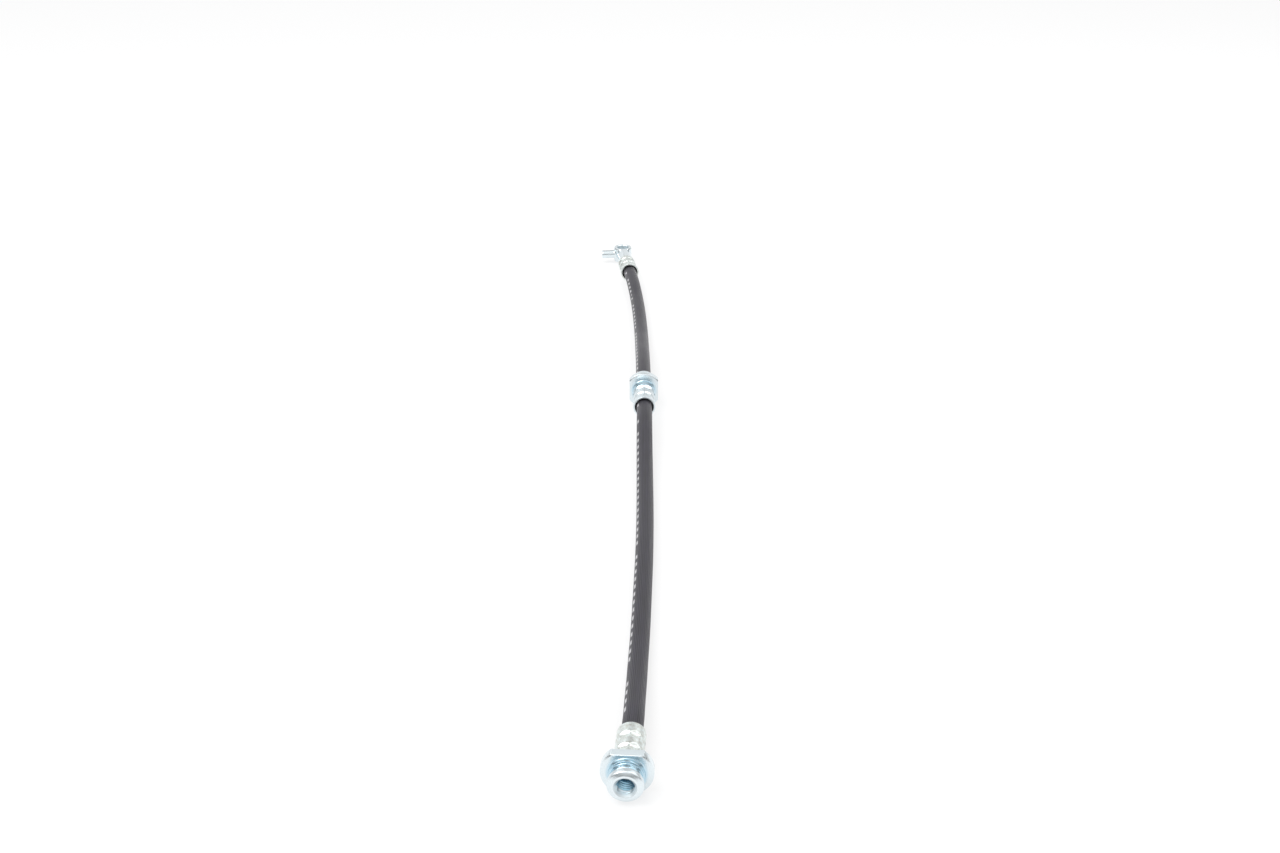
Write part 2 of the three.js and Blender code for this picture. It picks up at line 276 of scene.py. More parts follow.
class Finish:
    """A material, or a world, whose nodes are made from expressions."""

    def __init__(self, name, kind="materials"):
        self.material = getattr(bpy.data, kind).new(name)
        self.material.use_nodes = True
        self.tree = self.material.node_tree
        self.tree.nodes.clear()

    def node(self, kind, settings, sockets, output=0):
        made = self.tree.nodes.new(kind)
        for name, value in settings.items():
            if name == "stops":
                self.set_stops(made.color_ramp, value)
            else:
                setattr(made, name, value)
        for key, value in sockets.items():
            self.feed(made.inputs[key], value)
        return Wire(self, made.outputs[output]) if made.outputs else None

    def set_stops(self, ramp, stops):
        while len(ramp.elements) < len(stops):
            ramp.elements.new(0.5)
        for element, (position, colour) in zip(ramp.elements, stops):
            element.position = position
            element.color = (*colour, 1)

    def feed(self, target, value):
        if isinstance(value, Wire):
            self.tree.links.new(value.socket, target)
        elif hasattr(target.default_value, "__len__") and len(target.default_value) == 4:
            target.default_value = (*value, 1) if len(value) == 3 else value
        else:
            target.default_value = value

    def attribute(self, name, output):
        return self.node("ShaderNodeAttribute", {"attribute_name": name}, {}, output)

    def own_place(self):
        """Place of a point in its piece's own axes, in millimetres, with +Y along the axis."""
        settings = {"operation": "SCALE"}
        place = self.attribute("own", "Vector")
        return self.node("ShaderNodeVectorMath", settings, {"Vector": place, "Scale": 1 / MM})

    def parts(self, vector):
        split = self.node("ShaderNodeSeparateXYZ", {}, {"Vector": vector})
        outputs = split.socket.node.outputs
        return [Wire(self, outputs[axis]) for axis in "XYZ"]

    def vector(self, x, y):
        return self.node("ShaderNodeCombineXYZ", {}, {"X": x, "Y": y, "Z": 0.0})

    def noise(self, vector, scale, detail=3.0, roughness=0.55):
        sockets = {"Vector": vector, "Scale": scale, "Detail": detail, "Roughness": roughness}
        return self.node("ShaderNodeTexNoise", {}, sockets)

    def bump(self, height, distance, strength=1.0):
        sockets = {"Height": height, "Distance": distance, "Strength": strength}
        return self.node("ShaderNodeBump", {}, sockets)

    def surface(self, sockets):
        shader = self.node("ShaderNodeBsdfPrincipled", {}, sockets)
        self.node("ShaderNodeOutputMaterial", {}, {"Surface": shader})
        return self.material


def plated_steel(settings):
    """Bright zinc with fine turning marks, and a blue passivation tint laid on deeper in grooves,
    bores and round the spigot, where that deeper blue is painted shade.
    """
    finish = Finish("zinc_plate")
    place = finish.own_place()
    x, along, z = finish.parts(place)
    radius = (x * x + z * z) ** 0.5
    rings = finish.node(
        "ShaderNodeTexNoise", {"noise_dimensions": "1D"},
        {"W": radius + along * 0.93, "Scale": 9.0, "Detail": 4.0, "Roughness": 0.7})
    cloud = finish.noise(place, 0.22, 2.0)
    mottle = finish.noise(place, 1.6, 4.0)
    # The mask attribute turns the colour deeper blue: partly the blue passivation, partly painted
    # shade in grooves, bores and round the spigot.
    film = finish.attribute("film", "Fac")
    blue = (film * (0.55 + cloud * 0.7) + (mottle - 0.5) * 0.12).rise(0.05, 1.0)
    darker = tuple(0.92 * value for value in settings.zinc)
    lighter = tuple(min(1, 1.06 * value) for value in settings.zinc)
    colour = blue.blend(mottle.blend(darker, lighter), tuple(settings.passivate_shade))
    dull = finish.attribute("dull", "Fac")
    roughness = 0.16 + rings * 0.10 + dull * 0.26 + mottle * 0.05
    marks = rings * (1 - dull) + mottle * 0.25
    return finish.surface({
        "Base Color": colour, "Metallic": 1.0, "Roughness": roughness,
        "Normal": finish.bump(marks, 0.000016, 1.0),
    })


def crimped_steel(settings):
    """Plated shell that the jaws have marked: mottled, a little green, and scuffed."""
    finish = Finish("jaw_marked_steel")
    place = finish.own_place()
    mottle = finish.noise(place, 0.55, 5.0, 0.65)
    grain = finish.noise(place, 5.5, 4.0, 0.7)
    drag = finish.node(
        "ShaderNodeVectorMath", {"operation": "MULTIPLY"}, {0: place, 1: (3.2, 0.5, 3.2)})
    scuff = finish.noise(drag, 1.4, 5.0, 0.7)
    tone = (mottle * 0.6 + scuff * 0.4).rise(0.38, 0.62)
    warm = tuple(value * tint for value, tint in zip(settings.crimped, (0.84, 0.83, 0.79)))
    cool = tuple(min(1, value * tint) for value, tint in zip(settings.crimped, (1.14, 1.19, 1.22)))
    roughness = 0.22 + tone * 0.10 + grain * 0.16
    height = mottle * 0.8 + grain * 0.15 + scuff * 0.2
    return finish.surface({
        "Base Color": tone.blend(warm, cool), "Metallic": 1.0, "Roughness": roughness,
        "Normal": finish.bump(height, 0.00022, 0.9),
    })


def insert_steel():
    """Bare drawn steel of the tubes inside the hose's ends."""
    finish = Finish("drawn_steel")
    place = finish.node("ShaderNodeTexCoord", {}, {}, "Object")
    grain = finish.noise(place, 2600.0, 4.0)
    colour = grain.blend((0.40, 0.41, 0.42), (0.58, 0.59, 0.60))
    return finish.surface({
        "Base Color": colour, "Metallic": 1.0, "Roughness": 0.28 + grain * 0.2,
        "Normal": finish.bump(grain, 0.00001, 0.4),
    })


def hose_rubber(settings):
    """Black rubber with a dusty bloom, painted highlight on the rib crests and painted shade in the
    rib valleys, and a lay line of whole pale dashes in groups.
    """
    finish = Finish("ribbed_rubber")
    around = finish.attribute("around", "Fac")
    along = finish.attribute("along", "Fac")
    rib = finish.attribute("rib", "Fac")
    streak = finish.noise(finish.vector(around * 33.0, along * 0.06), 0.8, 4.0, 0.6)
    place = finish.node("ShaderNodeTexCoord", {}, {}, "Object")
    grain = finish.noise(place, 3800.0, 3.0)
    patch = finish.noise(place, 60.0, 3.0)
    bloom = (streak * 0.8 + patch * 0.2).rise(0.38, 0.66)
    rubber = tuple(settings.rubber)
    pale = tuple(3.2 * value + 0.004 for value in rubber)
    # The rib term makes the crests paler and the valleys darker: painted highlight and painted
    # shade. The bloom term is dust.
    colour = (bloom * 0.6 + rib * 0.6 - 0.3).blend(rubber, pale)
    steps = along / DASH_PITCH
    dash = steps.fraction()
    group = finish.noise(finish.vector((steps - dash) * 0.72, 3.7), 1.0, 2.0)
    line = 1 - abs((around - LAY_LINE_AT) * 32.0).rise(0.55, 1.0)
    in_dash = 1 - (abs(dash - 0.5) * 2.0).rise(0.44, 0.52)
    mark = line * in_dash * group.rise(0.41, 0.42)
    colour = (mark * 0.8).blend(colour, tuple(settings.marks))
    roughness = 0.40 + bloom * 0.14 + grain * 0.10
    return finish.surface({
        "Base Color": colour, "Metallic": 0.0, "Roughness": roughness,
        "Normal": finish.bump(grain * 0.6 + streak * 0.4, 0.00003, 0.5),
        "Sheen Weight": 0.86, "Sheen Roughness": 0.24, "Specular IOR Level": 0.65,
    })


def rounded(outline, steps=4):
    """Outline of a turned piece with each corner rounded as its third number says."""
    points = []
    count = len(outline)
    for index, (radius, along, rounding) in enumerate(outline):
        corner = np.array((radius, along))
        if not rounding:
            points.append(corner)
            continue
        before = np.array(outline[index - 1][:2]) - corner
        after = np.array(outline[(index + 1) % count][:2]) - corner
        lengths = np.linalg.norm(before), np.linalg.norm(after)
        reach = min(rounding, 0.45 * lengths[0], 0.45 * lengths[1])
        start = corner + before / lengths[0] * reach
        end = corner + after / lengths[1] * reach
        for step in range(steps + 1):
            t = step / steps
            points.append((1 - t) ** 2 * start + 2 * t * (1 - t) * corner + t * t * end)
    return np.array(points)


def split_long(points, longest):
    """The same closed outline, its stretches cut up to be no longer than longest(start, end)."""
    rows = []
    for start, end in zip(points, np.roll(points, -1, axis=0)):
        pieces = max(1, math.ceil(np.linalg.norm(end - start) / longest(start, end)))
        rows += [start + (end - start) * step / pieces for step in range(pieces)]
    return np.array(rows)


def grid_faces(rows, columns, wrap_rows):
    faces = []
    for row in range(rows if wrap_rows else rows - 1):
        lower, upper = row * columns, (row + 1) % rows * columns
        for column in range(columns):
            following = (column + 1) % columns
            faces.append((lower + column, lower + following, upper + following, upper + column))
    return faces


def new_mesh(name, points, faces):
    mesh = bpy.data.meshes.new(name)
    mesh.from_pydata(points.tolist(), [], faces)
    shape = bmesh.new()
    shape.from_mesh(mesh)
    bmesh.ops.remove_doubles(shape, verts=shape.verts, dist=1e-8)
    bmesh.ops.recalc_face_normals(shape, faces=shape.faces)
    shape.to_mesh(mesh)
    shape.free()
    return mesh


def turned_points(outline, sides, reshape=None):
    """Grid of points, in millimetres, of an outline turned about Y."""
    turns = np.linspace(0, TURN, sides, endpoint=False)
    radius = np.repeat(outline[:, :1], sides, axis=1)
    along = np.repeat(outline[:, 1:2], sides, axis=1)
    turn = np.repeat(turns[None, :], len(outline), axis=0)
    if reshape:
        radius, along = reshape(radius, along, turn)
    return np.stack([radius * np.sin(turn), along, radius * np.cos(turn)], axis=-1)


def turned_mesh(name, outline, sides, reshape=None, adjust=None, closed=True):
    grid = turned_points(outline, sides, reshape)
    if adjust:
        grid = adjust(grid)
    rows, columns = grid.shape[:2]
    faces = grid_faces(rows, columns, closed)
    return new_mesh(name, grid.reshape(-1, 3), faces)


def soft_least(first, second, reach):
    """Smaller of two values, rounded over where they cross."""
    blend = np.clip(0.5 + 0.5 * (second - first) / reach, 0, 1)
    return second * (1 - blend) + first * blend - reach * blend * (1 - blend)


def crimps(mouth, outside_from):
    """Reshapes a shell's outside where eight flat jaws closed on it, in two bands."""

    def reshape(radius, along, turn):
        outside = radius > outside_from
        sector = TURN / JAWS
        from_ridge = np.abs((turn + sector / 2) % sector - sector / 2)
        facet = CRIMP_RADIUS / np.cos(sector / 2 - from_ridge)
        facet += JAW_RIDGE * np.exp(-((from_ridge / math.radians(2.4)) ** 2))
        for centre in (mouth - CRIMP_TO_MOUTH, mouth - CRIMP_TO_MOUTH - CRIMP_PITCH):
            from_floor = np.abs(along - centre) - CRIMP_FLOOR / 2
            wall = facet + CRIMP_SLOPE * -soft_least(-from_floor, 0.0, 0.5)
            radius = np.where(outside, soft_least(radius, wall, 0.16), radius)
        return radius, along

    return reshape


def flats(axis, first, last):
    """Cuts two flats across a flange, with a small edge where each meets the flange's faces."""

    def adjust(grid):
        along = grid[..., 1]
        edge = 0.16 - np.minimum(np.minimum(along - first, last - along), 0.16)
        limit = np.where((along >= first - 0.01) & (along <= last + 0.01), HALF_FLATS - edge, 1e3)
        grid = grid.copy()
        grid[..., axis] = np.clip(grid[..., axis], -limit, limit)
        return grid

    return adjust


def settle(name, mesh, place, turned_about, finish, nodes, film=None, dull=None):
    """Places a piece made in its own axes, gives it its finish, and rides it on the frame."""
    own = np.empty(len(mesh.vertices) * 3)
    mesh.vertices.foreach_get("co", own)
    store(mesh, "own", own * MM, "FLOAT_VECTOR")
    points = own.reshape(-1, 3)
    # Mask of the deeper blue: partly passivation, partly painted shade.
    if film:
        store(mesh, "film", film(points), "FLOAT")
    if dull:
        store(mesh, "dull", dull(points), "FLOAT")
    centre, turn = place
    move = Matrix.Translation(centre * MM) @ Matrix.Rotation(turned_about - turn, 4, "Z")
    mesh.transform(move @ Matrix.Scale(MM, 4))
    mesh.polygons.foreach_set("use_smooth", [True] * len(mesh.polygons))
    mesh.set_sharp_from_angle(angle=math.radians(38))
    shown(name, mesh, finish, nodes)


def store(mesh, name, values, kind):
    attribute = mesh.attributes.new(name, kind, "POINT")
    field = "vector" if kind == "FLOAT_VECTOR" else "value"
    attribute.data.foreach_set(field, np.asarray(values, dtype=np.float32).ravel())


def shown(name, mesh, finish, nodes):
    piece = bpy.data.objects.new(name, mesh)
    bpy.context.scene.collection.objects.link(piece)
    mesh.materials.clear()
    mesh.materials.append(finish)
    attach(piece, "root")
    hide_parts(*nodes)
    return piece


finishes_made = {}


def material(maker, *settings):
    """The finish that this maker gives, made the first time that a piece asks for it.

    It isn't looked up by name, because the frame's own plain materials have such names too.
    """
    if maker not in finishes_made:
        finishes_made[maker] = maker(*settings)
    return finishes_made[maker]


def along_axis(place, distance):
    centre, turn = place
    return (centre + Vector((math.sin(turn), math.cos(turn), 0)) * distance) * MM


def route_point(point):
    across, share, up = point
    return Vector((across, share * NOSE_TO_EYE, up)) * MM


def hose_route():
    inlet_mouth = INLET_SHOULDER + CLEARANCE + SHELL_LENGTH
    banjo_mouth = BANJO_REACH + CLEARANCE + SHELL_LENGTH
    spigot_end = SLEEVE_LENGTH - SLEEVE_BARREL
    inlet = [INLET_SHOULDER + TAIL_LENGTH + CLEARANCE, inlet_mouth, inlet_mouth + MOUTH_LEAD]
    sleeve = [-SLEEVE_BARREL - MOUTH_LEAD, -SLEEVE_BARREL, 0, spigot_end, spigot_end + MOUTH_LEAD]
    banjo = [banjo_mouth + MOUTH_LEAD, banjo_mouth, BANJO_REACH + TAIL_LENGTH + CLEARANCE]
    return [
        *(along_axis(INLET, distance) for distance in inlet), *map(route_point, FRONT_ROUTE),
        *(along_axis(SLEEVE, distance) for distance in sleeve), *map(route_point, REAR_ROUTE),
        *(along_axis(BANJO, -distance) for distance in banjo),
    ]


def smooth_route(points, per_stretch=24):
    """Centripetal curve through the route's points, as closely spaced points."""
    points = [np.array(point) for point in points]
    points = [2 * points[0] - points[1], *points, 2 * points[-1] - points[-2]]
    curve = []
    for index in range(1, len(points) - 2):
        four = points[index - 1 : index + 3]
        knots = [0.0]
        for start, end in zip(four, four[1:]):
            knots.append(knots[-1] + math.sqrt(np.linalg.norm(end - start)))
        times = np.linspace(knots[1], knots[2], per_stretch, endpoint=False)
        for t in times:
            level = four
            for low, high in ((0, 1), (0, 2), (1, 2)):
                level = [
                    ((knots[i + high] - t) * start + (t - knots[i + low]) * end)
                    / (knots[i + high] - knots[i + low])
                    for i, (start, end) in enumerate(zip(level, level[1:]))
                ]
            curve.append(level[0])
    curve.append(points[-2])
    return np.array(curve)


def evenly(points, spacing):
    """Points a fixed distance apart along a line, with how far along each one is."""
    steps = np.linalg.norm(np.diff(points, axis=0), axis=1)
    distance = np.concatenate([[0], np.cumsum(steps)])
    count = max(2, round(distance[-1] / spacing) + 1)
    at = np.linspace(0, distance[-1], count)
    return np.stack([np.interp(at, distance, points[:, axis]) for axis in range(3)], 1), at


def softbox(name, place, size, watts):
    """Square area light that points at the middle of the table."""
    data = bpy.data.lights.new(name, "AREA")
    data.shape = "RECTANGLE"
    data.size = data.size_y = size
    data.energy = watts
    lamp = bpy.data.objects.new(name, data)
    lamp.location = place
    lamp.rotation_mode = "QUATERNION"
    lamp.rotation_quaternion = (-lamp.location).to_track_quat("-Z", "Y")
    bpy.context.scene.collection.objects.link(lamp)


class BRAKEHOSE_OT_stage(bpy.types.Operator):
    """Sets the table, the studio light and the camera"""

    bl_idname = "brakehose.stage"
    bl_label = "Stage"

    def execute(self, context):
        settings = context.scene.stage_settings
        self.camera(context, settings)
        self.table(settings)
        self.world(context)
        softbox("key_light", (-1.0, -0.3, 1.7), 1.6, 24)
        softbox("fill_light", (1.0, 0.3, 1.2), 1.3, 8)
        context.scene.view_settings.view_transform = "Standard"
        return {"FINISHED"}

    def camera(self, context, settings):
        data = bpy.data.cameras.new("camera")
        data.sensor_width = 36
        data.lens = settings.focal_pixels / FRAME_PIXELS * data.sensor_width
        data.clip_start, data.clip_end = 0.01, 50
        camera = bpy.data.objects.new("camera", data)
        camera.location = (
            settings.camera_side, -settings.camera_distance, settings.camera_height)
        camera.rotation_euler = (math.pi / 2 - settings.camera_pitch, 0, 0)
        context.scene.collection.objects.link(camera)
        context.scene.camera = camera

    def table(self, settings):
        finish = Finish("table")
        paths = finish.node("ShaderNodeLightPath", {}, {}).socket.node.outputs
        seen = Wire(finish, paths["Is Camera Ray"]).largest(Wire(finish, paths["Is Glossy Ray"]))
        seen = seen.largest(Wire(finish, paths["Is Transmission Ray"]))
        matt = finish.node("ShaderNodeBsdfDiffuse", {}, {"Color": tuple(settings.table)})
        glow = finish.node("ShaderNodeEmission", {}, {"Color": (1, 1, 1), "Strength": 1.0})
        sockets = {0: seen * 0.72, 1: matt, 2: glow}
        mixed = finish.node("ShaderNodeMixShader", {}, sockets)
        finish.node("ShaderNodeOutputMaterial", {}, {"Surface": mixed})
        signs = ((-1, -1, 0), (1, -1, 0), (1, 1, 0), (-1, 1, 0))
        corners = TABLE_HALF * np.array(signs)
        mesh = new_mesh("table", corners, [(0, 1, 2, 3)])
        mesh.materials.append(finish.material)
        table = bpy.data.objects.new("table", mesh)
        bpy.context.scene.collection.objects.link(table)

    def world(self, context):
        finish = Finish("studio", "worlds")
        direction = finish.node("ShaderNodeTexCoord", {}, {}, "Generated")
        _, back, height = finish.parts(direction)
        levels = ((0.0, 0.95), (0.36, 0.95), (0.50, 0.62), (0.66, 0.50), (0.74, 0.05), (1.0, 0.05))
        stops = [(at, (level, level, level)) for at, level in levels]
        sweep = finish.node("ShaderNodeValToRGB", {"stops": stops}, {"Fac": height}, "Color")
        canopy = height.rise(0.12, 0.40) * (1 - back.rise(-0.15, 0.35)) * 0.8
        level = (back.rise(0.58, 0.86) * sweep).largest(canopy).largest(0.30)
        panels = (
            ((0.0, 0.05, 0.99), 0.84, 0.91, 1.0),
            ((-0.42, 0.74, 0.56), 0.955, 0.985, 1.7),
            ((-0.78, 0.10, 0.62), 0.86, 0.93, 1.0),
            ((0.0, -0.74, 0.67), 0.90, 0.95, 1.5),
        )
        for axis, edge, full, strength in panels:
            settings = {"operation": "DOT_PRODUCT"}
            length = math.hypot(*axis)
            axis = tuple(value / length for value in axis)
            toward = finish.node(
                "ShaderNodeVectorMath", settings, {0: direction, 1: axis}, "Value")
            level = level.largest(toward.rise(edge, full) * strength)
        seen = finish.node("ShaderNodeLightPath", {}, {}, "Is Camera Ray")
        sky = level.blend((0, 0, 0), (1, 1, 1))
        light = finish.node("ShaderNodeBackground", {}, {"Color": seen.blend(sky, (1, 1, 1))})
        finish.node("ShaderNodeOutputWorld", {}, {"Surface": light})
        context.scene.world = finish.material


class BRAKEHOSE_OT_hose(bpy.types.Operator):
    """Makes the ribbed rubber hose along its route"""

    bl_idname = "brakehose.hose"
    bl_label = "Hose"

    def execute(self, context):
        settings = context.scene.hose_settings
        route = hose_route()
        line, distance = evenly(smooth_route(route), 0.002)
        tangent = np.gradient(line, axis=0)
        tangent /= np.linalg.norm(tangent, axis=1)[:, None]
        side = np.cross(tangent, (0, 0, 1.0))
        side /= np.linalg.norm(side, axis=1)[:, None]
        top = np.cross(side, tangent)
        columns = settings.rib_count * POINTS_PER_RIB
        turns = np.arange(columns) / columns
        rib = np.sqrt(0.5 + 0.5 * np.cos(TURN * settings.rib_count * turns))
        outside = settings.diameter / 2 - settings.rib_depth * (1 - rib)
        bore = np.full(columns, HOSE_BORE / 2 * MM)
        back = np.arange(0, len(line), 6)[::-1]
        rows = [(index, outside) for index in range(len(line))]
        rows += [(index, bore) for index in back]
        angle = TURN * (turns + 0.5)
        points, around, along, height = [], [], [], []
        for index, radius in rows:
            sideways = np.outer(np.sin(angle) * radius, side[index])
            upwards = np.outer(np.cos(angle) * radius, top[index])
            points.append(line[index] + (sideways + upwards))
            around.append(turns)
            along.append(np.full(columns, distance[index] / MM))
            height.append(rib)
        mesh = bpy.data.meshes.new("hose")
        mesh.from_pydata(np.concatenate(points).tolist(), [], grid_faces(len(rows), columns, True))
        store(mesh, "around", np.concatenate(around), "FLOAT")
        store(mesh, "along", np.concatenate(along), "FLOAT")
        # The rib profile also drives painted highlight on the crests and painted shade in the
        # valleys of the rubber's colour.
        store(mesh, "rib", np.concatenate(height), "FLOAT")
        mesh.polygons.foreach_set("use_smooth", [True] * len(mesh.polygons))
        mesh.set_sharp_from_angle(angle=math.radians(50))
        finish = material(hose_rubber, settings)
        hose = shown("hose_cover", mesh, finish, ["hose"])
        return {"FINISHED"}


def tail_outline(shoulder):
    return [
        (TAIL_NECK_RADIUS, shoulder, 0.1),
        (TAIL_NECK_RADIUS, shoulder + TAIL_NECK_LENGTH, 0.1),
        (TAIL_HEAD_RADIUS, shoulder + TAIL_NECK_LENGTH, 0.2),
        (TAIL_HEAD_RADIUS, shoulder + TAIL_LENGTH, 0.2),
    ]


def spigot_outline(collar, seat):
    """Collar, clip groove with its step, and seat of a spigot, up to the flange."""
    groove_end = collar + CLIP_GROOVE_WIDTH
    return [
        (SPIGOT_FACE_RADIUS, 0, 0.2),
        (SPIGOT_RADIUS, 1.0, 0.6),
        (SPIGOT_RADIUS, collar, 0.25),
        (GROOVE_RADIUS - GROOVE_STEP, collar, 0.15),
        (GROOVE_RADIUS - GROOVE_STEP, collar + 1.3, 0.3),
        (GROOVE_RADIUS, collar + 1.75, 0.3),
        (GROOVE_RADIUS, groove_end, 0.5),
        (SPIGOT_RADIUS, groove_end, 0.2),
        (SPIGOT_RADIUS, groove_end + seat, 0.7),
    ]


class BRAKEHOSE_OT_inlet_fitting(bpy.types.Operator):
    """Makes the turned inlet fitting with its threaded socket"""

    bl_idname = "brakehose.inlet_fitting"
    bl_label = "Inlet fitting"

    def execute(self, context):
        settings = context.scene.steel_settings
        pitch = settings.thread_pitch / MM
        seat_face = INLET_SHOULDER - FLANGE_THICKNESS
        tail_end = INLET_SHOULDER + TAIL_LENGTH
        outline = rounded([
            *spigot_outline(INLET_COLLAR, INLET_SEAT),
            (FLANGE_RADIUS - FLANGE_CHAMFER, seat_face, 0.12),
            (FLANGE_RADIUS, seat_face + FLANGE_EDGE, 0.15),
            (FLANGE_RADIUS, INLET_SHOULDER, 0.25),
            *tail_outline(INLET_SHOULDER),
            (TAIL_BORE_RADIUS, tail_end, 0.1), (TAIL_BORE_RADIUS, tail_end - TAIL_BORE_DEPTH, 0),
            (INLET_OILWAY_RADIUS, tail_end - TAIL_BORE_DEPTH, 0),
            (INLET_OILWAY_RADIUS, SOCKET_DEPTH + 1.6, 0), (1.6, SOCKET_DEPTH + 1.3, 0.1),
            (THREAD_RADIUS, SOCKET_DEPTH, 0.1), (THREAD_RADIUS, COUNTERSINK_DEPTH, 0.05),
            (COUNTERSINK_RADIUS, 0, 0.15),
        ])

        def fine(start, end):
            outermost, innermost = max(start[0], end[0]), min(start[0], end[0])
            in_thread = THREAD_RADIUS - 0.01 < innermost and outermost < THREAD_RADIUS + 0.01
            return pitch / 10 if in_thread else COARSE_ROW

        def cut_thread(radius, along, turn):
            phase = (along / pitch - turn / TURN) % 1.0
            crest = 0.5 - 0.5 * np.cos(TURN * phase)
            start = np.clip((along - 0.2) / 0.8, 0, 1)
            end = np.clip((SOCKET_DEPTH - 0.6 - along) / 0.8, 0, 1)
            wall = np.abs(radius - THREAD_RADIUS) < 0.02
            return radius + np.where(wall, THREAD_DEPTH * crest * (start * end), 0), along

        cut = flats(2, seat_face, INLET_SHOULDER)
        rows = split_long(outline, fine)
        mesh = turned_mesh("inlet_fitting", rows, TURNED_SIDES, cut_thread, cut)

        # Mask of the deeper blue: partly passivation, partly painted shade in the clip groove, on
        # the seat, on the flange face round the spigot and in the threaded bore.
        def film(points):
            radius = np.hypot(points[:, 0], points[:, 2])
            along = points[:, 1]
            groove = between(along, INLET_COLLAR, 0.3, seat_face + 0.4, 0.3)
            inner_face = 1 - step_up(radius, 9.6, 1.2)
            bore = (radius < 5.3) * step_up(along, 0.8, 1.0)
            return np.clip(0.62 * groove * np.maximum(inner_face, 0.12) + 0.4 * bore, 0, 1)

        def dull(points):
            radius = np.hypot(points[:, 0], points[:, 2])
            along = points[:, 1]
            on_flat = np.abs(points[:, 2]) > HALF_FLATS - 0.01
            countersink = (along < COUNTERSINK_DEPTH + 0.05) & (radius < COUNTERSINK_RADIUS + 0.05)
            collar = (along > 1.05) & (along < INLET_COLLAR - 0.2) & (radius > SPIGOT_RADIUS - 0.2)
            return np.where(on_flat | countersink, 1.0, np.where(collar, 0.45, 0.0))

        finish = material(plated_steel, settings)
        settle("inlet_body", mesh, INLET, 0, finish, ["inlet_fitting"], film, dull)
        return {"FINISHED"}


def step_up(values, at, width):
    """Smooth step from 0 to 1 whose middle is at this value."""
    t = np.clip((values - at) / width + 0.5, 0, 1)
    return t * t * (3 - 2 * t)


def between(values, first, first_width, last, last_width):
    """1 between two values, with a smooth step at each."""
    return step_up(values, first, first_width) * (1 - step_up(values, last, last_width))


def barrel_fineness(outer_from, crimped_from=0.0):
    """Length of the rows: fine on the crimped outside, coarse elsewhere."""

    def longest(start, end):
        outside = min(start[0], end[0]) > outer_from
        return FINE_ROW if outside and max(start[1], end[1]) > crimped_from else COARSE_ROW

    return longest


def flared_mouth(mouth):
    return [
        (SHELL_RADIUS, mouth - FLARE_LENGTH, 1.2),
        (FLARE_RADIUS, mouth - FLARE_LENGTH / 3, 0.8),
        (FLARE_RADIUS, mouth, 0.35),
        (FLARE_BORE, mouth, 0.35),
        (FLARE_BORE, mouth - FLARE_LENGTH / 2, 0.8),
        (SHELL_BORE, mouth - 1.5 * FLARE_LENGTH, 0.8),
    ]


class BRAKEHOSE_OT_ferrules(bpy.types.Operator):
    """Makes the crimped shells at both ends of the hose"""

    bl_idname = "brakehose.ferrules"
    bl_label = "Ferrules"

    def execute(self, context):
        finish = material(crimped_steel, context.scene.steel_settings)
        plain = [
            (SHELL_RADIUS, SHELL_LENGTH, 0.45),
            (SHELL_BORE, SHELL_LENGTH, 0.35),
        ]
        ends = (
            ("inlet", INLET, 0, INLET_SHOULDER, plain),
            ("banjo", BANJO, math.pi, BANJO_REACH, flared_mouth(SHELL_LENGTH)),
        )
        for name, place, turned_about, shoulder, mouth in ends:
            outline = rounded([
                (LIP_HOLE_RADIUS, 0, 0.1), (SHELL_RADIUS, 0, 0.6), *mouth,
                (SHELL_BORE, LIP_THICKNESS, 0.1), (LIP_HOLE_RADIUS, LIP_THICKNESS, 0.1),
            ])
            rows = split_long(outline, barrel_fineness(SHELL_RADIUS - 0.2))
            reshape = crimps(SHELL_LENGTH, SHELL_BORE + 0.8)
            mesh = turned_mesh(f"{name}_shell", rows, SHELL_SIDES, reshape)
            mesh.transform(Matrix.Translation((0, shoulder + CLEARANCE, 0)))
            settle(
                f"{name}_shell", mesh, place, turned_about, finish,
                [f"{name}_ferrule"])
        return {"FINISHED"}


